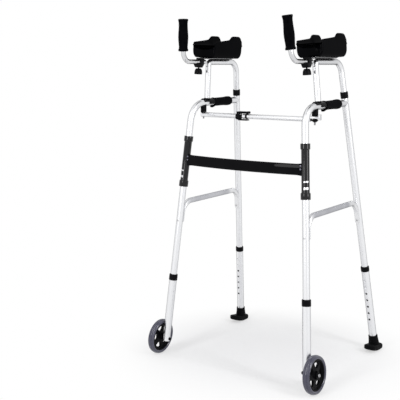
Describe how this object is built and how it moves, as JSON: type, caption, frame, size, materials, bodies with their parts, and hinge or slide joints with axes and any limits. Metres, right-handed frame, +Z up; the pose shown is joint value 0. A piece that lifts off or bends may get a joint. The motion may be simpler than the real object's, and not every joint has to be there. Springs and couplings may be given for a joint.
{
  "type": "wheeled walker",
  "caption": "Folding aluminium walking frame with front wheels, ski-shaped rear feet, hand grips and height-adjustable forearm supports with upright grips.",
  "frame": {"origin": "on the floor, at the bottom centre of the bounding box", "axes": "+Z up, the front faces -Y, the user's left is +X; the walker is nearly symmetric about X = 0"},
  "size_m": [0.6692, 0.6104, 1.202],
  "materials": {
    "aluminium": "bright anodised",
    "steel": "zinc plated",
    "plated_steel": "plated",
    "gloss_black": "gloss",
    "black_plastic": "satin",
    "hub_plastic": "satin",
    "moulded_cuff": "satin moulded",
    "handle_foam": "matt foam",
    "grip_rubber": "matt ribbed",
    "grey_tyre": "satin",
    "foot_rubber": "matt",
    "button_plastic": "satin"
  },
  "bodies": {
    "base": {"crossbar": "gloss_black", "left_sleeve": "black_plastic", "right_sleeve": "black_plastic"},
    "left_frame": {"left_front_tube": "aluminium", "left_rear_upright": "aluminium", "left_top_collar": "black_plastic", "left_handle_grip": "handle_foam", "left_side_brace": "aluminium", "left_spacer_block": "black_plastic", "left_strut_bolt": "steel"},
    "left_front_leg": {"left_front_lower_tube": "aluminium", "left_front_collar": "black_plastic", "left_axle_bolt": "steel"},
    "left_rear_leg": {"left_rear_lower_tube": "aluminium", "left_rear_collar": "black_plastic", "left_foot": "foot_rubber"},
    "left_wheel": {"left_tyre": "grey_tyre", "left_wheel_hub": "hub_plastic"},
    "left_front_catch": {"left_front_button": "button_plastic"},
    "left_rear_catch": {"left_rear_button": "button_plastic"},
    "left_armrest": {"left_arm_tube": "aluminium", "left_saddle": "black_plastic", "left_cuff": "moulded_cuff", "left_cuff_plate": "plated_steel", "left_clamp_block": "black_plastic"},
    "left_forearm_grip": {"left_grip_tube": "plated_steel", "left_upright_grip": "grip_rubber"},
    "left_clamp_screw": {"left_clamp_knob": "black_plastic"},
    "right_frame": {"right_front_tube": "aluminium", "right_rear_upright": "aluminium", "right_top_collar": "black_plastic", "right_handle_grip": "handle_foam", "right_side_brace": "aluminium", "right_spacer_block": "black_plastic", "right_strut_bolt": "steel"},
    "right_front_leg": {"right_front_lower_tube": "aluminium", "right_front_collar": "black_plastic", "right_axle_bolt": "steel"},
    "right_rear_leg": {"right_rear_lower_tube": "aluminium", "right_rear_collar": "black_plastic", "right_foot": "foot_rubber"},
    "right_wheel": {"right_tyre": "grey_tyre", "right_wheel_hub": "hub_plastic"},
    "right_front_catch": {"right_front_button": "button_plastic"},
    "right_rear_catch": {"right_rear_button": "button_plastic"},
    "right_armrest": {"right_arm_tube": "aluminium", "right_saddle": "black_plastic", "right_cuff": "moulded_cuff", "right_cuff_plate": "plated_steel", "right_clamp_block": "black_plastic"},
    "right_forearm_grip": {"right_grip_tube": "plated_steel", "right_upright_grip": "grip_rubber"},
    "right_clamp_screw": {"right_clamp_knob": "black_plastic"},
    "left_strut": {"left_strut_rod": "aluminium", "lock_ring": "black_plastic"},
    "right_strut": {"right_strut_rod": "aluminium", "lock_body": "black_plastic"},
    "latch": {"lock_latch": "black_plastic"},
    "nut": {"thumb_nut": "black_plastic"}
  },
  "joints": [
    {"name": "left_frame_fold", "type": "hinge", "parent": "base", "child": "left_frame", "pos_m": [0.23773, -0.1901, 0.71], "axis": [-0.075, 0.0793, 0.994], "range_deg": [0, 70]},
    {"name": "left_front_leg_height", "type": "slide", "parent": "left_frame", "child": "left_front_leg", "axis": [-0.075, 0.0793, 0.994], "range_m": [0, 0.1524]},
    {"name": "left_rear_leg_height", "type": "slide", "parent": "left_frame", "child": "left_rear_leg", "axis": [-0.0759, -0.1699, 0.9825], "range_m": [0, 0.1524]},
    {"name": "left_wheel_roll", "type": "hinge", "parent": "left_front_leg", "child": "left_wheel", "pos_m": [0.3141, -0.24204, 0.06334], "axis": [0.9971, -0.007, 0.0758], "continuous": true},
    {"name": "left_front_button_press", "type": "slide", "parent": "left_frame", "child": "left_front_catch", "axis": [-0.0129, -0.9968, 0.0785], "range_m": [0, 0.003], "stiffness_N_per_m": 600, "springref_m": -0.001},
    {"name": "left_rear_button_press", "type": "slide", "parent": "left_frame", "child": "left_rear_catch", "axis": [-0.006, 0.9854, 0.17], "range_m": [0, 0.003], "stiffness_N_per_m": 600, "springref_m": -0.001},
    {"name": "left_armrest_lift", "type": "slide", "parent": "left_frame", "child": "left_armrest", "axis": [-0.0759, -0.1699, 0.9825], "range_m": [0, 0.15]},
    {"name": "left_forearm_grip_slide", "type": "slide", "parent": "left_armrest", "child": "left_forearm_grip", "axis": [-0.007, -1, 0], "range_m": [0, 0.045]},
    {"name": "left_clamp_knob_turn", "type": "hinge", "parent": "left_armrest", "child": "left_clamp_screw", "pos_m": [0.21335, -0.15113, 1.0345], "axis": [-0.0758, 0.0005, 0.9971], "continuous": true},
    {"name": "right_frame_fold", "type": "hinge", "parent": "base", "child": "right_frame", "pos_m": [-0.23773, -0.1901, 0.71], "axis": [-0.075, -0.0793, -0.994], "range_deg": [0, 38]},
    {"name": "right_front_leg_height", "type": "slide", "parent": "right_frame", "child": "right_front_leg", "axis": [0.075, 0.0793, 0.994], "range_m": [0, 0.1524]},
    {"name": "right_rear_leg_height", "type": "slide", "parent": "right_frame", "child": "right_rear_leg", "axis": [0.0759, -0.1699, 0.9825], "range_m": [0, 0.1524]},
    {"name": "right_wheel_roll", "type": "hinge", "parent": "right_front_leg", "child": "right_wheel", "pos_m": [-0.3141, -0.24204, 0.06334], "axis": [0.9971, 0.007, -0.0758], "continuous": true},
    {"name": "right_front_button_press", "type": "slide", "parent": "right_frame", "child": "right_front_catch", "axis": [0.0129, -0.9968, 0.0785], "range_m": [0, 0.003], "stiffness_N_per_m": 600, "springref_m": -0.001},
    {"name": "right_rear_button_press", "type": "slide", "parent": "right_frame", "child": "right_rear_catch", "axis": [0.006, 0.9854, 0.17], "range_m": [0, 0.003], "stiffness_N_per_m": 600, "springref_m": -0.001},
    {"name": "right_armrest_lift", "type": "slide", "parent": "right_frame", "child": "right_armrest", "axis": [0.0759, -0.1699, 0.9825], "range_m": [0, 0.15]},
    {"name": "right_forearm_grip_slide", "type": "slide", "parent": "right_armrest", "child": "right_forearm_grip", "axis": [0.007, -1, 0], "range_m": [0, 0.045]},
    {"name": "right_clamp_knob_turn", "type": "hinge", "parent": "right_armrest", "child": "right_clamp_screw", "pos_m": [-0.21335, -0.15113, 1.0345], "axis": [0.0758, 0.0005, 0.9971], "continuous": true},
    {"name": "left_strut_open", "type": "hinge", "parent": "left_frame", "child": "left_strut", "pos_m": [0.22301, -0.10595, 0.87], "axis": [0, 0, -1], "range_deg": [0, 80]},
    {"name": "right_strut_open", "type": "hinge", "parent": "right_frame", "child": "right_strut", "pos_m": [-0.22301, -0.10595, 0.87], "axis": [0, 0, 1], "range_deg": [0, 80]},
    {"name": "latch_lift", "type": "hinge", "parent": "right_strut", "child": "latch", "pos_m": [-0.0704, -0.10595, 0.8828], "axis": [0, -1, 0], "range_deg": [0, 15]},
    {"name": "thumb_nut_turn", "type": "hinge", "parent": "left_frame", "child": "nut", "pos_m": [0.22301, -0.10595, 0.866], "axis": [0, 0, 1], "continuous": true}
  ]
}
